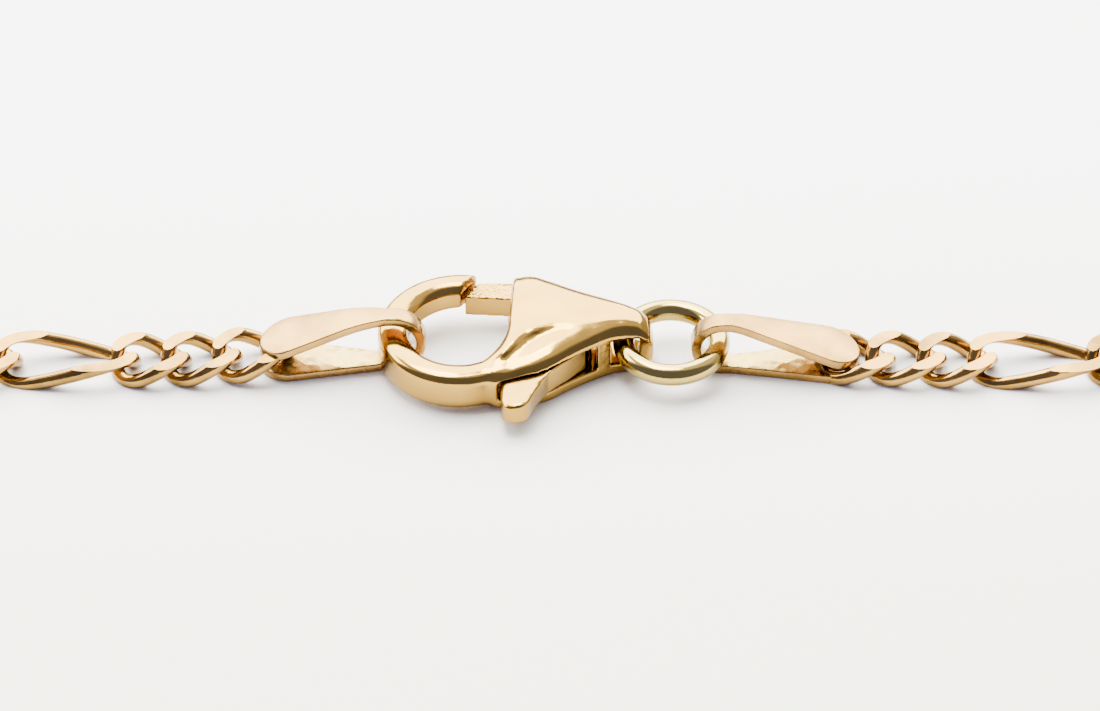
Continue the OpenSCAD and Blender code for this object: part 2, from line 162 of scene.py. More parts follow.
# Painted shade: the paper is darkened to cream in front and fades to its own near white behind
painted_shade_fade = add("ShaderNodeMapRange", {
    "Value": depth,
    "From Min": (front_y + painted_shade_span[0]) * MM,
    "From Max": (front_y + painted_shade_span[1]) * MM,
}).outputs["Result"]
tone = add_ramp(add, painted_shade_fade, [(0.0, paper_in_painted_shade), (1.0, paper_far)])
grain = add("ShaderNodeTexNoise", {"Vector": place, "Scale": 1 / (paper_grain * MM), "Detail": 6})
bump = add("ShaderNodeBump", {
    "Height": grain.outputs["Fac"],
    "Strength": 0.35,
    "Distance": paper_bump * MM,
})
surface = add("ShaderNodeBsdfPrincipled", {
    "Base Color": tone,
    "Roughness": 0.75,
    "Normal": bump.outputs["Normal"],
})
add("ShaderNodeOutputMaterial", {"Surface": surface.outputs["BSDF"]})

floor_mesh = bpy.data.meshes.new("paper_floor")
floor_corners = [(-1, -1, 0), (1, -1, 0), (1, 1, 0), (-1, 1, 0)]
floor_points = [Vector(corner) * paper_size / 2 * MM for corner in floor_corners]
floor_mesh.from_pydata(floor_points, [], [(0, 1, 2, 3)])
floor_mesh.materials.append(paper)
floor = bpy.data.objects.new("paper_floor", floor_mesh)
bpy.context.scene.collection.objects.link(floor)

room = bpy.data.worlds.new("studio")
bpy.context.scene.world = room
add = new_nodes(room)
heading = add("ShaderNodeSeparateXYZ", {"Vector": add("ShaderNodeTexCoord").outputs["Generated"]})
overhead = add("ShaderNodeMapRange", {
    "Value": heading.outputs["Z"],
    "From Min": white_from_height,
    "From Max": white_to_height,
}, interpolation_type="SMOOTHSTEP").outputs["Result"]
walls = add_ramp(add, overhead, [(0.0, room_grey), (1.0, room_white)])
in_front = add("ShaderNodeMapRange", {
    "Value": heading.outputs["Y"],
    "From Min": dark_to_depth,
    "From Max": dark_from_depth,
    "To Min": 1.0,
    "To Max": 0.0,
}, interpolation_type="SMOOTHSTEP").outputs["Result"]
sky = add("ShaderNodeMix", {
    "Factor": in_front,
    "A": walls,
    "B": (*room_dark, 1),
}, data_type="RGBA").outputs["Result"]
glow = add("ShaderNodeBackground", {"Color": sky, "Strength": room_strength})
add("ShaderNodeOutputWorld", {"Surface": glow.outputs["Background"]})

for name, (place, width, height, watts) in SOFTBOXES.items():
    light_data = bpy.data.lights.new(name, "AREA")
    light_data.shape = "RECTANGLE"
    light_data.size = width * MM
    light_data.size_y = height * MM
    light_data.energy = watts
    light = bpy.data.objects.new(name, light_data)
    light.location = Vector(place) * MM
    to_light = Vector(place) - camera_aim
    light.rotation_euler = to_light.to_track_quat("Z", "Y").to_euler()
    bpy.context.scene.collection.objects.link(light)


# Clasp body: one hollow gold casting, polished. A hook sweeps round from its front shoulder to the seam.
# The body is two thin shells with an open slot for the lever, a post, and an eye at the tail for the ring.
# The upper shell's front lip hangs over the lever. Places are from the clasp's middle, its front at -Y.
clasp_gold = (0.385, 0.226, 0.044)

# Hook: a band bent round its own centre, rolled over at the edges
hook_centre = (-4.0, 0.08)
hook_ri = 2.2
hook_w = 1.3
hook_inner_round = 0.16
hook_outer_round = 0.32
crown_round = 0.42
crown_drop = 0.04
hook_sections = 90

# Body: a dome that rolls over quickly at its front ridge and slowly towards its back wall
body_half_w = 3.0
body_chamfer = 0.1
front_roll_w = 1.6
back_roll_w = 2.8
front_squareness = 2.2
back_squareness = 2.8
back_wall_share = 0.84
dome_points = 49
body_sections = 150

# Slot between the shells, the lip in front of it, and the post and the eye at the tail
slot_low = 0.56
slot_high = 1.86
slot_x = -2.24
lip_y = -2.35
lip_z = 1.5
lip_to = 0.3
lip_overlap = 0.05
post_x = 2.05
post_edge = 0.04
eye_x = 2.6
eye_l = 1.3

# The lever's pivot, and the sector that the gate sweeps about it, out to the seam with the hook
pivot = (0.9, 0.1)
seam_r = 5.30
seam_from = 92
seam_to = 178
seam_heights = (-1, 4)
sector_points = 60

# Finish: the fineness of the casting, how long it is tumbled, and how softly a filed patch fades out.
# A filed patch has two corners, and its rounds of filing.
cast_grain = 0.055
tumble_rounds = 12
filing_fade = 0.4
SHOULDER_PATCH = ((-3.9, -3.9, -0.5), (-2.3, -2.0, 2.6), 40)
RIDGE_PATCH = ((-4.0, -3.9, 1.45), (-0.6, 0.2, 3.2), 60)

# Solids that cut right through the clasp reach further than it does, and round ones have many sides
reach = 20
cut_heights = (0, 3)
round_points = 96

# The jump ring's size and place, because the tail is opened out for it
ring_od = 5.1
ring_wire = 0.95
ring_ri = ring_od / 2 - ring_wire
ring_play = 0.12
ring_x = eye_x + ring_play + ring_od / 2
ring_y = -0.1

# Heights round the hook: angle in degrees, inner bottom edge, inner crease, crown, outer bottom edge
HOOK_HEIGHTS = [
    [62, 1.26, 2.02, 2.34, 1.00],
    [90, 1.14, 2.00, 2.31, 0.86],
    [130, 0.98, 1.92, 2.23, 0.66],
    [180, 0.72, 1.81, 2.10, 0.42],
    [230, 0.46, 1.72, 1.98, 0.26],
    [275, 0.34, 1.68, 1.93, 0.17],
    [315, 0.30, 1.70, 1.96, 0.14],
    [346, 0.30, 1.80, 2.06, 0.14],
]

# Sections of the body from the front shoulder to the tail: place along X, shares of the half width in
# front and behind, top, underside, share of the height where the upright front wall ends, and how
# far the front ridge lies below the dome behind it
BODY_SECTIONS = [
    [-3.10, 0.98, -0.70, 1.72, 0.40, 0.70, 0.00],
    [-2.80, 1.04, -0.61, 1.90, 0.24, 0.66, 0.02],
    [-2.50, 1.07, -0.52, 2.08, 0.15, 0.63, 0.07],
    [-2.30, 1.08, -0.45, 2.19, 0.12, 0.61, 0.14],
    [-2.05, 1.07, -0.31, 2.32, 0.07, 0.60, 0.25],
    [-1.88, 1.06, -0.14, 2.40, 0.03, 0.60, 0.30],
    [-1.76, 1.05, 0.20, 2.44, 0.00, 0.60, 0.32],
    [-1.68, 1.04, 0.88, 2.44, 0.00, 0.60, 0.33],
    [-1.62, 1.04, 0.99, 2.48, 0.00, 0.60, 0.33],
    [-1.35, 1.02, 1.05, 2.53, 0.00, 0.60, 0.32],
    [-0.80, 0.98, 1.06, 2.60, 0.00, 0.61, 0.28],
    [-0.10, 0.89, 0.95, 2.63, 0.00, 0.63, 0.20],
    [0.85, 0.66, 0.77, 2.64, 0.00, 0.68, 0.09],
    [2.00, 0.41, 0.58, 2.64, 0.00, 0.71, 0.02],
    [2.85, 0.27, 0.46, 2.60, 0.00, 0.72, 0.00],
    [3.50, 0.23, 0.37, 2.52, 0.00, 0.72, 0.00],
    [4.05, 0.21, 0.29, 2.30, 0.05, 0.70, 0.00],
    [4.38, 0.19, 0.22, 1.87, 0.31, 0.70, 0.00],
    [4.50, 0.15, 0.16, 1.46, 0.75, 0.70, 0.00],
]

# The hook's inner edge, rolled up from its crease: distance outwards, and share of the way to the crown
CREASE_ROLL = [
    [0.11, 0.36],
    [0.26, 0.74],
    [0.44, 0.95],
    [0.65, 1.00],
]

# Middle of the slope from the front ridge up to the dome: place along X, across, and the slope's width
RIDGE_LINE = [
    [-3.10, -2.45, 0.45],
    [-2.00, -2.18, 0.42],
    [-1.55, -1.72, 0.45],
    [-1.09, -1.22, 0.50],
    [-0.50, -0.86, 0.48],
    [0.20, -0.60, 0.50],
    [1.20, -0.45, 0.70],
    [4.55, -0.20, 0.80],
]


def smooth_table(rows, count):
    """A short table of sections, turned into many with smooth columns between its rows."""
    rows = np.array(rows, dtype=float)
    keys = rows[:, 0]
    slopes = np.gradient(rows, keys, axis=0)
    result = []
    for key in np.linspace(keys[0], keys[-1], count):
        i = min(np.searchsorted(keys, key, side="right") - 1, len(keys) - 2)
        step = keys[i + 1] - keys[i]
        t = (key - keys[i]) / step
        near, far = rows[i], rows[i + 1]
        result.append(
            near * (2 * t**3 - 3 * t**2 + 1)
            + far * (3 * t**2 - 2 * t**3)
            + step * slopes[i] * (t**3 - 2 * t**2 + t)
            + step * slopes[i + 1] * (t**3 - t**2)
        )
    return result


def arc(centre, radius, start, end, count):
    """Points of an arc in a plane, between two angles in degrees."""
    angles = np.radians(np.linspace(start, end, count))
    return [(centre[0] + radius * math.cos(a), centre[1] + radius * math.sin(a)) for a in angles]


def new_piece(name, mesh):
    """An object for a mesh, at the origin."""
    piece = bpy.data.objects.new(name, mesh)
    bpy.context.scene.collection.objects.link(piece)
    return piece


def piece_from(name, build):
    """A new piece whose mesh is filled in by a function, closed and facing outwards."""
    shape = bmesh.new()
    build(shape)
    bmesh.ops.recalc_face_normals(shape, faces=shape.faces[:])
    mesh = bpy.data.meshes.new(name)
    shape.to_mesh(mesh)
    shape.free()
    return new_piece(name, mesh)


def loft(name, rings):
    """A closed solid through rings of points."""
    def build(shape):
        rows = [[shape.verts.new(p) for p in ring] for ring in rings]
        count = len(rows[0])
        for near, far in zip(rows, rows[1:]):
            for j in range(count):
                shape.faces.new((near[j], near[(j + 1) % count], far[(j + 1) % count], far[j]))
        shape.faces.new(rows[0])
        shape.faces.new(rows[-1])

    return piece_from(name, build)


def prism(name, outline, low, high):
    """An upright solid over a plan outline."""
    return loft(name, [[(x, y, z) for x, y in outline] for z in (low, high)])


def combine(piece, other, operation):
    """Adds another solid to a piece, or cuts it away, and removes the other."""
    change = piece.modifiers.new(operation, "BOOLEAN")
    change.operation = operation
    change.solver = "EXACT"
    change.object = other
    settle(piece)
    bpy.data.objects.remove(other)


def settle(piece):
    """Turns a piece's modifiers into its plain mesh."""
    graph = bpy.context.evaluated_depsgraph_get()
    result = bpy.data.meshes.new_from_object(piece.evaluated_get(graph), depsgraph=graph)
    piece.modifiers.clear()
    piece.data = result


def cast_and_tumble(piece, grain, rounds):
    """Gives a solid the flowing corners of a casting that was tumbled and polished."""
    skin = piece.modifiers.new("skin", "REMESH")
    skin.mode = "VOXEL"
    skin.voxel_size = grain
    polish = piece.modifiers.new("polish", "SMOOTH")
    polish.factor = 0.5
    polish.iterations = rounds
    settle(piece)
    for face in piece.data.polygons:
        face.use_smooth = True


def blend_over(piece, low, high, rounds):
    """Files a piece smooth between two corners on the clasp, fading out towards their edges."""
    low, high = (np.array(corner) + (0, clasp_y, 0) for corner in (low, high))
    group = piece.vertex_groups.new(name="filed")
    for vertex in piece.data.vertices:
        depth = min(np.minimum(np.array(vertex.co) - low, high - np.array(vertex.co)))
        if depth > 0:
            group.add([vertex.index], min(1, depth / filing_fade), "REPLACE")
    filed = piece.modifiers.new("filed", "SMOOTH")
    filed.vertex_group = "filed"
    filed.factor = 0.5
    filed.iterations = rounds
    settle(piece)
    piece.vertex_groups.clear()


def hook_ring(row):
    """One upright section of the hook: a wall with a crease inside and a rolled edge outside."""
    angle, inner_low, crease, crown, outer_low = row
    hook_ro = hook_ri + hook_w
    inner_corner = (hook_ri + hook_inner_round, inner_low + hook_inner_round)
    crown_corner = (hook_ro - crown_round, crown - crown_round - crown_drop)
    outer_corner = (hook_ro - hook_outer_round, outer_low + hook_outer_round)
    section = arc(inner_corner, hook_inner_round, 270, 180, 4)
    section += [(hook_ri, inner_low + 0.5), (hook_ri, crease - 0.25), (hook_ri, crease)]
    for outward, share in CREASE_ROLL:
        section.append((hook_ri + outward, crease + share * (crown - crease)))
    section += arc(crown_corner, crown_round, 84, 0, 8)
    section += [(hook_ro, outer_low + 0.55)]
    section += arc(outer_corner, hook_outer_round, 0, -90, 6)
    cos = math.cos(math.radians(angle))
    sin = math.sin(math.radians(angle))
    return [(hook_centre[0] + r * cos, clasp_y + hook_centre[1] + r * sin, z) for r, z in section]


def rolled_edge(inset, roll, squareness):
    """Share of the full height at a distance in from an edge that is rolled over."""
    left = max(0, 1 - inset / roll)
    return max(0, 1 - left**squareness) ** (1 / squareness)


def body_ring(row):
    """One section across the body: flat below, with a dome that falls to a ridge in front."""
    x, front_share, back_share, top, floor_z, wall_share, ridge_drop = row
    front = -body_half_w * front_share
    back = body_half_w * back_share
    wall_front = floor_z + wall_share * (top - floor_z)
    wall_back = floor_z + back_wall_share * (top - floor_z)
    line_y, line_w = (np.interp(x, *np.array(RIDGE_LINE)[:, [0, k]].T) for k in (1, 2))
    front_roll = min((back - front) / 2, front_roll_w)
    back_roll = min((back - front) / 2, back_roll_w)
    points = [
        (x, clasp_y + front + body_chamfer, floor_z),
        (x, clasp_y + front, floor_z + body_chamfer),
    ]
    for turn in np.linspace(0, math.pi, dome_points):
        across = (1 - math.cos(turn)) / 2
        y = front + (back - front) * across
        front_dome = rolled_edge(y - front, front_roll, front_squareness)
        back_dome = rolled_edge(back - y, back_roll, back_squareness)
        below = min(1, max(0, (line_y - y) / line_w + 0.5))
        drop = ridge_drop * below * below * (3 - 2 * below)
        wall = wall_front if across < 0.5 else wall_back
        points.append((x, clasp_y + y, wall + (top - wall - drop) * min(front_dome, back_dome)))
    points += [
        (x, clasp_y + back, floor_z + body_chamfer),
        (x, clasp_y + back - body_chamfer, floor_z),
    ]
    return points


def about(centre, radius):
    """Outline of a circle at a place on the clasp."""
    middle = (centre[0], clasp_y + centre[1])
    return arc(middle, radius, 0, 360 * (1 - 1 / round_points), round_points)


def seam_sector(radius):
    """Outline of the sector that the gate's tip sweeps, out to a radius from the pivot."""
    middle = (pivot[0], clasp_y + pivot[1])
    return arc(middle, radius, seam_from, seam_to, sector_points) + [middle]


def slot_block(name, x_from, x_to, y_from=-reach):
    """A block as high as the slot, which goes right through the clasp or starts at a place on it."""
    front, back = clasp_y + y_from, clasp_y + reach
    outline = [(x_from, front), (x_to, front), (x_to, back), (x_from, back)]
    return prism(name, outline, slot_low, slot_high)


clasp = loft("claw_body", [body_ring(row) for row in smooth_table(BODY_SECTIONS, body_sections)])
hook = loft("hook", [hook_ring(row) for row in smooth_table(HOOK_HEIGHTS, hook_sections)])
combine(hook, prism("seam_cut", seam_sector(seam_r), *seam_heights), "DIFFERENCE")
combine(clasp, hook, "UNION")
combine(clasp, slot_block("slot", slot_x, post_x, lip_y), "DIFFERENCE")

# In front of the slot the ceiling slants down to the lip, which is lowest beside the hook
lip_back = lip_y + lip_overlap
under_lip = []
for x, ceiling in [(slot_x, lip_z), (lip_to, slot_high), (post_x, slot_high)]:
    corners = [(-reach, slot_low), (lip_back, slot_low), (lip_back, ceiling), (-reach, ceiling)]
    under_lip.append([(x, clasp_y + y, z) for y, z in corners])
combine(clasp, loft("under_lip", under_lip), "DIFFERENCE")

# The eye goes through the tail, and beyond it only a post inside the ring joins the two shells
combine(clasp, slot_block("eye", eye_x, eye_x + eye_l), "DIFFERENCE")
tail_gap = slot_block("tail_gap", eye_x, reach)
ring_hole = prism("ring_hole", about((ring_x, ring_y), ring_ri - ring_play), *cut_heights)
combine(tail_gap, ring_hole, "DIFFERENCE")
combine(clasp, tail_gap, "DIFFERENCE")

# After tumbling, the hook's shoulder is filed into the body, and then the front ridge and its valley
cast_and_tumble(clasp, cast_grain, tumble_rounds)
blend_over(clasp, *SHOULDER_PATCH)
blend_over(clasp, *RIDGE_PATCH)
clasp.data.transform(Matrix.Scale(MM, 4))


# Gold's finish: the breadth of its drifts in tone, the size of a wipe mark, and the depths of its marks
drift_w = 2.2
wipe_size = (1.6, 0.05, 0.09)
wipe_depth = 0.004
stipple_depth = 0.05


def gold(
    name, colour, grain=0.9, low_rough=0.07, high_rough=0.17, scratch=0.25, stipple=None, dull=0.86
):
    """Polished gold, with a tone that drifts, uneven gloss, fine wipe marks and perhaps a stipple."""
    material = bpy.data.materials.new(name)
    add = new_nodes(material)
    place = add("ShaderNodeTexCoord").outputs["Object"]
    drift = add("ShaderNodeTexNoise", {"Vector": place, "Scale": 1 / (drift_w * MM), "Detail": 4})
    pale = tuple(1.12 * c for c in colour)
    deep = tuple(dull * c for c in colour)
    tone = add_ramp(add, drift.outputs["Fac"], [(0.30, deep), (0.55, colour), (0.75, pale)])
    haze = add("ShaderNodeTexNoise", {"Vector": place, "Scale": 1 / (grain * MM), "Detail": 6})
    rough = add("ShaderNodeMapRange", {
        "Value": haze.outputs["Fac"],
        "From Min": 0.3,
        "From Max": 0.75,
        "To Min": low_rough,
        "To Max": high_rough,
    }).outputs["Result"]
    turned = add("ShaderNodeMapping", {
        "Vector": place,
        "Rotation": (0.3, 0.5, 0.9),
        "Scale": tuple(1 / (size * MM) for size in wipe_size),
    }).outputs["Vector"]
    wipes = add("ShaderNodeTexNoise", {"Vector": turned, "Scale": 1.0, "Detail": 2})
    normal = add("ShaderNodeBump", {
        "Height": wipes.outputs["Fac"],
        "Strength": scratch,
        "Distance": wipe_depth * MM,
    }).outputs["Normal"]
    if stipple:
        dots = add("ShaderNodeTexVoronoi", {"Vector": place, "Scale": 1 / (stipple * MM)})
        normal = add("ShaderNodeBump", {
            "Height": dots.outputs["Distance"],
            "Strength": 0.8,
            "Distance": stipple_depth * MM,
            "Normal": normal,
        }).outputs["Normal"]
    surface = add("ShaderNodeBsdfPrincipled", {
        "Base Color": tone,
        "Metallic": 1.0,
        "Roughness": rough,
        "Normal": normal,
    })
    add("ShaderNodeOutputMaterial", {"Surface": surface.outputs["BSDF"]})
    return material


clasp.data.materials.clear()
clasp.data.materials.append(gold("polished_yellow_gold", clasp_gold))
hammered_gold = gold("hammered_gold", clasp_gold, low_rough=0.16, high_rough=0.3, stipple=0.3)
clasp.data.materials.append(hammered_gold)
for face in clasp.data.polygons:
    at = face.center / MM
    on_post = post_x + post_edge < at.x < eye_x - post_edge and slot_low < at.z < slot_high
    if on_post and face.normal.y < -0.3:
        face.material_index = 1
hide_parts("clasp_body")
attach(clasp, "necklace")


# Pivot pin: a plain rod of drawn gold, pressed through both shells where the lever's hub hides it.
# The lever swings on it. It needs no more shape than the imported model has.
pin = frame["nodes"]["pivot_pin"]
pin.data.materials.clear()
drawn_gold = gold("drawn_gold_rod", clasp_gold, grain=0.4, low_rough=0.2, high_rough=0.35)
pin.data.materials.append(drawn_gold)


# Lever: one casting with the gate that closes the hook, a hub on the pin, and a thumb knob in front.
# Its faces are ground flat, lower under the body's lip, and the top of the gate is left stippled.
lever_play = 0.08
lever_low = slot_low + lever_play
lever_high = slot_high - lever_play
lever_grain = 0.05
lever_rounds = 4
hub_r = 1.05
gate_out = 3.4
gate_x = -1.65
gate_root_l = 0.42
gate_root_t = 1.15
gate_tip_t = 0.95
gate_step = 0.06
seam_gap = 0.1
hook_play = 0.12
knob_x = -2.12
lip_play = 0.04
grind_x = -2.4
grind_h = 1.2
stipple_margin = 0.1
KNOB_PATCH = ((-2.6, -5.2, 0.7), (0.4, -2.9, 2.2), 90)


def on_hub(angle):
    """A point on the rim of the hub."""
    angle = math.radians(angle)
    return (pivot[0] + hub_r * math.cos(angle), pivot[1] + hub_r * math.sin(angle))


# From the gate's root round the hub, then down the front cheek and round the thumb knob
lever_outline = [
    (gate_x, gate_out - gate_root_t),
    (gate_x, gate_out - 0.18),
    (gate_x + gate_root_l, gate_out - 0.36),
    on_hub(70),
    on_hub(20),
    on_hub(-30),
    (1.72, -0.50),
    (1.68, -0.90),
    (1.55, -1.18),
    (0.80, -1.95),
    (-0.08, -2.80),
    (-0.38, -3.30),
    (-0.62, -3.75),
    (-0.80, -4.20),
    (-0.88, -4.38),
    (-0.98, -4.60),
    (-1.18, -4.75),
    (-1.42, -knob_reach),
    (-1.68, -knob_reach),
    (-1.90, -4.73),
    (-2.05, -4.56),
    (knob_x, -4.35),
    (knob_x, -1.1),
]
lever = prism("lever", [(x, clasp_y + y) for x, y in lever_outline], lever_low, lever_high)
hook_room = prism("hook_room", about(hook_centre, hook_ri + hook_play), *cut_heights)
combine(lever, hook_room, "DIFFERENCE")
gate_outline = [
    (gate_x + gate_root_l, gate_out - gate_root_t),
    (gate_x + gate_root_l, gate_out),
    (hook_centre[0], gate_out),
    (hook_centre[0] - hook_w, gate_out - gate_tip_t),
    (hook_centre[0], gate_out - gate_tip_t),
]
gate_plan = [(x, clasp_y + y) for x, y in gate_outline]
gate = prism("gate", gate_plan, lever_low + gate_step, lever_high - gate_step)
combine(gate, prism("gate_end", seam_sector(seam_r - seam_gap), *cut_heights), "INTERSECT")
combine(lever, gate, "UNION")

# The knob's top is ground down on a slope, so that it passes under the body's lip
ground_off = []
for above in (0, grind_h):
    plan = [(grind_x, -6), (lip_to, -6), (lip_to, -2.2), (grind_x, -1.15)]
    heights = [lip_z - lip_play, lever_high, lever_high, lip_z - lip_play]
    ground_off.append([(x, clasp_y + y, z + above) for (x, y), z in zip(plan, heights)])
combine(lever, loft("ground_off", ground_off), "DIFFERENCE")
cast_and_tumble(lever, lever_grain, lever_rounds)
blend_over(lever, *KNOB_PATCH)
lever.data.transform(Matrix.Scale(MM, 4))
lever.data.materials.clear()
ground_gold = gold("ground_gold", clasp_gold, low_rough=0.12, high_rough=0.26, scratch=0.5)
stippled_gold = gold("stippled_gold", clasp_gold, low_rough=0.2, high_rough=0.34, stipple=0.15)
lever.data.materials.append(ground_gold)
lever.data.materials.append(stippled_gold)
for face in lever.data.polygons:
    towards_back = face.center.y / MM - clasp_y
    if face.normal.z > 0.8 and towards_back > gate_out - gate_root_t - stipple_margin:
        face.material_index = 1
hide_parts("clasp_lever")
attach(lever, "lever")


# Jump ring: round wire of a paler, greener gold, bent round and closed through the clasp's eye.
# It leans a little, with its back resting high in the eye.
ring_gold = (0.39, 0.285, 0.075)
ring_below_slot = 0.14
ring_z = slot_high - ring_below_slot - ring_wire / 2
ring_tilt = math.radians(3)
ring_steps = 112
ring_sides = 32


def build_ring(shape):
    """Round wire bent into a level circle."""
    rows = []
    mid_r = (ring_od - ring_wire) / 2
    for turn in np.linspace(0, 2 * math.pi, ring_steps, endpoint=False):
        row = []
        for angle in np.linspace(0, 2 * math.pi, ring_sides, endpoint=False):
            r = mid_r + ring_wire / 2 * math.cos(angle)
            z = ring_wire / 2 * math.sin(angle)
            row.append(shape.verts.new((r * math.cos(turn), r * math.sin(turn), z)))
        rows.append(row)
    for i, row in enumerate(rows):
        after = rows[(i + 1) % len(rows)]
        for j in range(len(row)):
            j2 = (j + 1) % len(row)
            face = shape.faces.new((row[j], after[j], after[j2], row[j2]))
            face.smooth = True


ring = piece_from("jump_ring_wire", build_ring)
ring_place = Matrix.Translation((ring_x, clasp_y + ring_y, ring_z))
ring.data.transform(ring_place @ Matrix.Rotation(ring_tilt, 4, "X"))
ring.data.transform(Matrix.Scale(MM, 4))
ring.data.materials.append(gold("pale_green_gold", ring_gold))
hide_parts("jump_ring")
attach(ring, "necklace")


# End tags: strips of rose gold folded over the hook and over the jump ring, with a round soldered end.
# The upper leaf slopes down on to the lower one, and both are plain, with their edges broken.
tag_gold = (0.37, 0.208, 0.056)
solder_gold = (0.42, 0.285, 0.08)
tag_w = 2.4
neck_w = 0.86
neck_l = 1.75
tag_t = 0.42
tag_slope = math.radians(19)
edge_break = 0.10
broken_over = math.radians(40)
crisp_over = math.radians(30)
fold_points = 40
arch_points = 14
round_end_points = 48
past_end = 1
cut_spare = 0.5
solder_reach = 0.1


def tag_outline(tag_l):
    """The tag from above, round at x = 0 and narrow at its fold."""
    end_r = tag_w / 2
    neck_x = tag_l - neck_l
    span = math.hypot(neck_x - end_r, neck_w / 2)
    touch = math.degrees(math.atan2(neck_w / 2, neck_x - end_r) + math.acos(end_r / span))
    outline = arc((end_r, 0), end_r, touch, 360 - touch, round_end_points)
    outline += [(neck_x, -neck_w / 2), (reach, -neck_w / 2)]
    return outline + [(reach, neck_w / 2), (neck_x, neck_w / 2)]


def tag_profile(tag_l, fold_h, arch_r):
    """The folded strip from the side, as a closed outline in x and z."""
    fold_r = fold_h / 2
    fold_x = tag_l - fold_r
    slope_end = 90 + math.degrees(tag_slope)
    down = np.array([-math.cos(tag_slope), -math.sin(tag_slope)])

    def slope_foot(start):
        """Where the straight slope from a point comes down, past the tag's round end."""
        return tuple(np.array(start) + down * (start[0] + past_end) / math.cos(tag_slope))

    outer = arc((fold_x, fold_r), fold_r, -90, 90, fold_points)
    outer += arc((fold_x, fold_h - arch_r), arch_r, 90, slope_end, arch_points)[1:]
    outer.append(slope_foot(outer[-1]))
    inner = arc((fold_x, fold_h - arch_r), arch_r - tag_t, slope_end, 90, arch_points)
    inner.insert(0, slope_foot(inner[0]))
    inner += arc((fold_x, fold_r), fold_r - tag_t, 90, -90, fold_points)[1:]
    return [(-past_end, 0)] + outer + inner + [(-past_end, tag_t)]


def folded_tag(name, tag_l, fold_h, arch_r):
    """A tag with its round end at x = 0 and its fold on the +X side."""
    strip = prism(name, tag_outline(tag_l), -cut_spare, fold_h + cut_spare)
    profile = tag_profile(tag_l, fold_h, arch_r)
    sides = [[(x, y, z) for x, z in profile] for y in (-tag_w, tag_w)]
    combine(strip, loft("profile", sides), "INTERSECT")
    broken = strip.modifiers.new("broken_edges", "BEVEL")
    broken.width = edge_break
    broken.segments = 3
    broken.limit_method = "ANGLE"
    broken.angle_limit = broken_over
    settle(strip)
    return strip


def soft_shade(piece):
    """Smooth shading, with the sharper edges kept crisp."""
    shape = bmesh.new()
    shape.from_mesh(piece.data)
    for face in shape.faces:
        face.smooth = True
    for edge in shape.edges:
        edge.smooth = edge.is_manifold and edge.calc_face_angle() < crisp_over
    shape.to_mesh(piece.data)
    shape.free()


# The left tag is folded round the hook. Its seat is where the wire at its link's end lies.
left_tag_l = 7.25
left_fold_h = 2.9
left_arch_r = 7
left_seat_l = 1.2
left_tag_y = 0.38
tag_on_hook_play = 0.4
left_fold_x = hook_centre[0] - hook_ri + tag_on_hook_play + tag_t
left_seat_x = left_fold_x - left_tag_l + left_seat_l
left_tag = folded_tag("end_tag_left", left_tag_l, left_fold_h, left_arch_r)
left_tag.data.transform(Matrix.Translation((left_seat_x - left_seat_l, front_y + left_tag_y, 0)))

# The right tag is folded round the jump ring's wire, and lies turned by a degree
right_tag_l = 7.35
right_fold_h = 2.75
right_arch_r = 3.5
right_seat_l = 1.7
right_tag_y = 0.24
right_turn = math.radians(1)
tag_on_ring_play = 0.17
right_run = right_tag_l - right_seat_l
right_fold_y = right_tag_y - right_run * math.sin(right_turn)
edge_y = right_fold_y - neck_w / 2 - (clasp_set_back + ring_y)
right_fold_x = ring_x + math.sqrt(ring_ri**2 - edge_y**2) - tag_on_ring_play - tag_t
right_seat_x = right_fold_x + right_run * math.cos(right_turn)
right_tag = folded_tag("end_tag_right", right_tag_l, right_fold_h, right_arch_r)
right_tag.data.transform(Matrix.Translation((-right_seat_l, 0, 0)))
right_tag.data.transform(Matrix.Rotation(math.pi, 4, "Z"))
right_tag.data.transform(Matrix.Rotation(right_turn, 4, "Z"))
right_tag.data.transform(Matrix.Translation((right_seat_x, front_y + right_tag_y, 0)))

# The lower leaf's inside is washed over with rough, paler solder
rose_gold = gold("worn_rose_gold", tag_gold, low_rough=0.2, high_rough=0.36, scratch=0.7, dull=0.6)
soldered = gold(
    "solder_washed_gold", solder_gold, grain=0.3, low_rough=0.2, high_rough=0.42, stipple=0.45
)
for tag in (left_tag, right_tag):
    soft_shade(tag)
    tag.data.transform(Matrix.Scale(MM, 4))
    tag.data.materials.clear()
    tag.data.materials.append(rose_gold)
    tag.data.materials.append(soldered)
    for face in tag.data.polygons:
        if face.normal.z > 0.95 and face.center.z < (tag_t + solder_reach) * MM:
            face.material_index = 1


# Chain: three short loops of round gold wire and then a long one, linked, twisted and soldered shut.
# The finished chain is rolled flat between two planes, so every bow shows leaf-shaped facets.
link_gold = (0.35, 0.196, 0.046)

# Links: half lengths and half width to the wire's middle, and the wire's thickness and width
short_a = 1.49
long_a = 2.94
strand_b = 1.14
wire_t = 0.62
wire_w = 0.70
link_twist = math.radians(45)
link_bluntness = 2.6
wire_sides = 12
wire_ring_step = 0.22
loop_steps = 1441

# Facets: place from a link's end and beside its axis, depth, lean, and the patterns made of each link
facet_end = 0.6
facet_side = 0.75
facet_depth = 0.045
facet_lean = math.radians(2.6)
past_middle = 0.05
patterns_each = 5

# Loop: its count of links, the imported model's step from wire to wire, and the lengths of its route
shorts = 3
longs = 36
packed_wire_sides = 5
link_play = 0.26
wire_step = math.cos(math.pi / packed_wire_sides) * wire_t + link_play
straight_l = 60
climb_l = 5.5

# All chance comes from here: how each facet leans, and which pattern each link is made to
rolled = np.random.default_rng(14)


def bent(value):
    """A sine or cosine made blunter, which squares up a link's round ends."""
    return math.copysign(abs(value) ** (2 / link_bluntness), value)


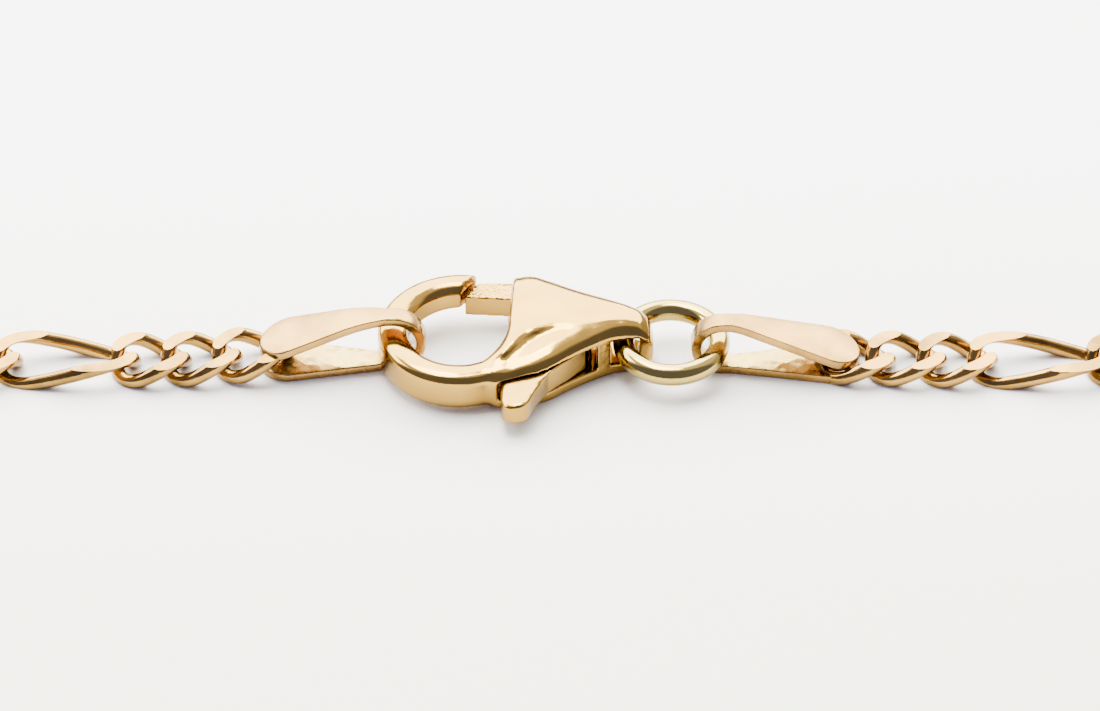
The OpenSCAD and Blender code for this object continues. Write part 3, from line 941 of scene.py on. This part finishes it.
def link_line(half_l):
    """Middle of a link's wire before the twist: x and distance from the axis, at even steps."""
    loop = []
    for turn in np.linspace(0, 2 * math.pi, loop_steps):
        bow_x = short_a * bent(math.cos(turn))
        side = math.copysign(1, math.cos(turn))
        loop.append((bow_x + side * (half_l - short_a), strand_b * bent(math.sin(turn))))
    loop = np.array(loop)
    travel = np.concatenate([[0], np.cumsum(np.linalg.norm(np.diff(loop, axis=0), axis=1))])
    count = int(round(travel[-1] / wire_ring_step))
    steps = np.linspace(0, travel[-1], count, endpoint=False)
    return np.column_stack([np.interp(steps, travel, loop[:, k]) for k in (0, 1)])


def roll_facets(shape, half_l):
    """Flattens both bows of a link by nearly level planes above and below."""
    for end in (-1, 1):
        for level in (-1, 1):
            lean_x, lean_y = rolled.uniform(-facet_lean, facet_lean, 2)
            middle_z = level * (chain_t / 2 - facet_depth)
            middle = Vector((end * (half_l - facet_end), -end * level * facet_side, middle_z))
            normal = Vector((lean_x, lean_y, level)).normalized()
            near_end = [v for v in shape.verts if v.co.x * end > past_middle]
            edges = {e for v in near_end for e in v.link_edges}
            faces = {f for v in near_end for f in v.link_faces}
            bmesh.ops.bisect_plane(
                shape, geom=[*near_end, *edges, *faces], dist=1e-6,
                plane_co=middle, plane_no=normal, clear_outer=True,
            )
            rim = [e for e in shape.edges if e.is_boundary]
            facets = bmesh.ops.holes_fill(shape, edges=rim, sides=0)["faces"]
            for facet in facets:
                facet.smooth = False
                for edge in facet.edges:
                    edge.smooth = False


def build_link(shape, half_l):
    """A closed, twisted loop of wire, rolled flat."""
    line = link_line(half_l)
    twist = link_twist * line[:, 0] / half_l
    middle = np.column_stack([line[:, 0], line[:, 1] * np.cos(twist), -line[:, 1] * np.sin(twist)])
    along = np.roll(middle, -1, axis=0) - np.roll(middle, 1, axis=0)
    along /= np.linalg.norm(along, axis=1)[:, None]
    flat_along = np.roll(line, -1, axis=0) - np.roll(line, 1, axis=0)
    rows = []
    for k in range(len(line)):
        # Outward lies in the twisted link's own plane and square to the wire
        across = np.array([0, math.cos(twist[k]), -math.sin(twist[k])])
        outward = flat_along[k][1] * np.array([1.0, 0, 0]) - flat_along[k][0] * across
        outward -= along[k] * outward.dot(along[k])
        outward /= np.linalg.norm(outward)
        side = np.cross(along[k], outward)
        row = []
        for corner in np.linspace(0, 2 * math.pi, wire_sides, endpoint=False):
            offset = wire_t / 2 * math.cos(corner) * outward + wire_w / 2 * math.sin(corner) * side
            row.append(shape.verts.new(middle[k] + offset))
        rows.append(row)
    for k, row in enumerate(rows):
        after = rows[(k + 1) % len(rows)]
        for j in range(wire_sides):
            j2 = (j + 1) % wire_sides
            shape.faces.new((row[j], row[j2], after[j2], after[j])).smooth = True
    roll_facets(shape, half_l)


# The route is two straights and two half circles, as wide as the chain's length makes them
links = longs * (shorts + 1) + shorts
half_links = (links - 1) // 2
chain_l = (links - longs) * 2 * short_a + longs * 2 * long_a - (links - 1) * wire_step
bend_r = (chain_l + right_seat_x - left_seat_x - 2 * straight_l) / (2 * math.pi)
bend_l = math.pi * bend_r
left_run = left_seat_x + straight_l / 2


def seat_climb(tag_l, fold_h, arch_r, seat_l, tag_y):
    """How far a tag's seat for its link lies behind and above the flat chain."""
    drop = arch_r * (1 - math.cos(tag_slope))
    run = tag_l - fold_h / 2 - arch_r * math.sin(tag_slope) - seat_l
    gap_top = fold_h - drop - run * math.tan(tag_slope) - tag_t / math.cos(tag_slope)
    return Vector((0, tag_y, (gap_top + tag_t) / 2 - chain_t / 2))


left_climb = seat_climb(left_tag_l, left_fold_h, left_arch_r, left_seat_l, left_tag_y)
right_climb = seat_climb(right_tag_l, right_fold_h, right_arch_r, right_seat_l, right_tag_y)


def route(s):
    """Point of the loop at a distance from the left tag's seat, with its climb to both tags."""
    on_left = s - left_run
    on_back = on_left - bend_l
    on_right = on_back - straight_l
    if on_left < 0:
        x, y = left_seat_x - s, 0
    elif on_back < 0:
        turn = on_left / bend_r
        x, y = -straight_l / 2 - bend_r * math.sin(turn), bend_r * (1 - math.cos(turn))
    elif on_right < 0:
        x, y = on_back - straight_l / 2, 2 * bend_r
    elif on_right < bend_l:
        turn = on_right / bend_r
        x, y = straight_l / 2 + bend_r * math.sin(turn), bend_r * (1 + math.cos(turn))
    else:
        x, y = straight_l / 2 + bend_l - on_right, 0
    near_left = max(0, 1 - s / climb_l) ** 2
    near_right = max(0, 1 - (chain_l - s) / climb_l) ** 2
    return Vector((x, front_y + y, chain_t / 2)) + near_left * left_climb + near_right * right_climb


def link_place(i):
    """Middle of link i, and its turn as Euler angles."""
    before = i // (shorts + 1)
    half_l = long_a if i % (shorts + 1) == shorts else short_a
    start = (i - before) * (2 * short_a - wire_step) + before * (2 * long_a - wire_step)
    near = route(start)
    far = route(start + 2 * half_l)
    ahead = (far - near).normalized()
    sideways = Vector((0, 0, 1)).cross(ahead).normalized()
    turn = Matrix((ahead, sideways, ahead.cross(sideways))).transposed()
    return (near + far) / 2, turn.to_euler()


def links_on_route_tree():
    """Puts one of the link patterns on every point of a route, and makes one mesh of them."""
    tree = bpy.data.node_groups.new("links_on_route", "GeometryNodeTree")
    for name, kind in [
        ("Route points", "NodeSocketGeometry"),
        ("Link patterns", "NodeSocketCollection"),
        ("Link scale", "NodeSocketFloat"),
        ("Gold", "NodeSocketMaterial"),
    ]:
        tree.interface.new_socket(name, in_out="INPUT", socket_type=kind)
    tree.interface.new_socket("Links", in_out="OUTPUT", socket_type="NodeSocketGeometry")

    add = node_adder(tree)
    given = add("NodeGroupInput").outputs
    chosen = add("GeometryNodeInputNamedAttribute", {"Name": "pattern"}, data_type="INT")
    turned = add("GeometryNodeInputNamedAttribute", {"Name": "turn"}, data_type="FLOAT_VECTOR")
    patterns = add("GeometryNodeCollectionInfo", {
        "Collection": given["Link patterns"],
        "Separate Children": True,
        "Reset Children": True,
    })
    placed = add("GeometryNodeInstanceOnPoints", {
        "Points": given["Route points"],
        "Instance": patterns.outputs["Instances"],
        "Pick Instance": True,
        "Instance Index": chosen.outputs["Attribute"],
        "Rotation": turned.outputs["Attribute"],
        "Scale": given["Link scale"],
    })
    whole = add("GeometryNodeRealizeInstances", {"Geometry": placed.outputs["Instances"]})
    golden = add("GeometryNodeSetMaterial", {
        "Geometry": whole.outputs["Geometry"],
        "Material": given["Gold"],
    })
    add("NodeGroupOutput", {"Links": golden.outputs["Geometry"]})
    return tree


# The patterns are picked by number in the order of their names, the short links first
link_patterns = bpy.data.collections.new("link_patterns")
for kind, half_l in [("a_short", short_a), ("b_long", long_a)]:
    for i in range(patterns_each):
        pattern = piece_from(f"{kind}_{i}", lambda shape: build_link(shape, half_l))
        bpy.context.scene.collection.objects.unlink(pattern)
        link_patterns.objects.link(pattern)

wire_gold = gold("rolled_wire_gold", link_gold, low_rough=0.1, high_rough=0.24, scratch=0.4, dull=0.45)
chain_tree = links_on_route_tree()
chain_sockets = chain_tree.interface.items_tree
chain_inputs = {socket.name: socket.identifier for socket in chain_sockets if socket.in_out == "INPUT"}


def laid_links(name, first, last):
    """Links first to last, laid on the route as one plain mesh."""
    places = [link_place(i) for i in range(first, last + 1)]
    points = bpy.data.meshes.new(name)
    points.from_pydata([middle * MM for middle, turn in places], [], [])
    turns = points.attributes.new("turn", "FLOAT_VECTOR", "POINT")
    turns.data.foreach_set("vector", [angle for middle, turn in places for angle in turn])
    chosen = points.attributes.new("pattern", "INT", "POINT")
    for i in range(first, last + 1):
        is_long = i % (shorts + 1) == shorts
        chosen.data[i - first].value = int(rolled.integers(patterns_each)) + patterns_each * is_long
    piece = new_piece(name, points)
    laying = piece.modifiers.new("laying", "NODES")
    laying.node_group = chain_tree
    laying[chain_inputs["Link patterns"]] = link_patterns
    laying[chain_inputs["Link scale"]] = MM
    laying[chain_inputs["Gold"]] = wire_gold
    settle(piece)
    return piece


for name, node, first, last in [
    ("links_left", "chain_left", 1, half_links),
    ("links_right", "chain_right", half_links + 1, links - 2),
]:
    run = laid_links(name, first, last)
    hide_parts(node)
    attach(run, "necklace")

# How a link sits in a tag: the gold left over it, how steeply it may rise beyond the leaf's edge, and
# how far the right tag's link is sunk
leaf_over_link = 0.12
rise_past_edge = 1.2
right_sunk = 0.1


def seated_link(name, i, fold_x, fold_h, arch_r, tag_l, tag_y, sunk):
    """The chain's last link, let down into a tag and pressed to fit under the sloping upper leaf."""
    end_link = laid_links(name, i, i)
    arch_end = fold_h / 2 + arch_r * math.sin(tag_slope)
    arch_drop = arch_r * (1 - math.cos(tag_slope))
    for vertex in end_link.data.vertices:
        from_fold = abs(vertex.co.x / MM - fold_x)
        aside = vertex.co.y / MM - front_y - tag_y
        leaf_top = fold_h - arch_drop - (from_fold - arch_end) * math.tan(tag_slope)
        past_edge = max(0, math.hypot(max(0, from_fold - tag_l + tag_w / 2), aside) - tag_w / 2)
        vertex.co.z -= sunk * MM
        ceiling = leaf_top - leaf_over_link + rise_past_edge * past_edge
        vertex.co.z = max(0, min(vertex.co.z, ceiling * MM))
    return end_link


left_link = seated_link(
    "tag_left_link", 0, left_fold_x, left_fold_h, left_arch_r, left_tag_l, left_tag_y, 0
)
right_link = seated_link(
    "tag_right_link", links - 1, right_fold_x, right_fold_h, right_arch_r, right_tag_l, right_tag_y,
    right_sunk,
)
for tag, end_link, node in [(left_tag, left_link, "tag_left"), (right_tag, right_link, "tag_right")]:
    whole = bmesh.new()
    whole.from_mesh(tag.data)
    tag_faces = len(whole.faces)
    whole.from_mesh(end_link.data)
    whole.faces.ensure_lookup_table()
    for face in whole.faces[tag_faces:]:
        face.material_index = 2
    whole.to_mesh(tag.data)
    whole.free()
    tag.data.materials.append(wire_gold)
    bpy.data.objects.remove(end_link)
    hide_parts(node)
    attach(tag, "necklace")

for pattern in list(link_patterns.objects):
    bpy.data.objects.remove(pattern)
bpy.data.collections.remove(link_patterns)
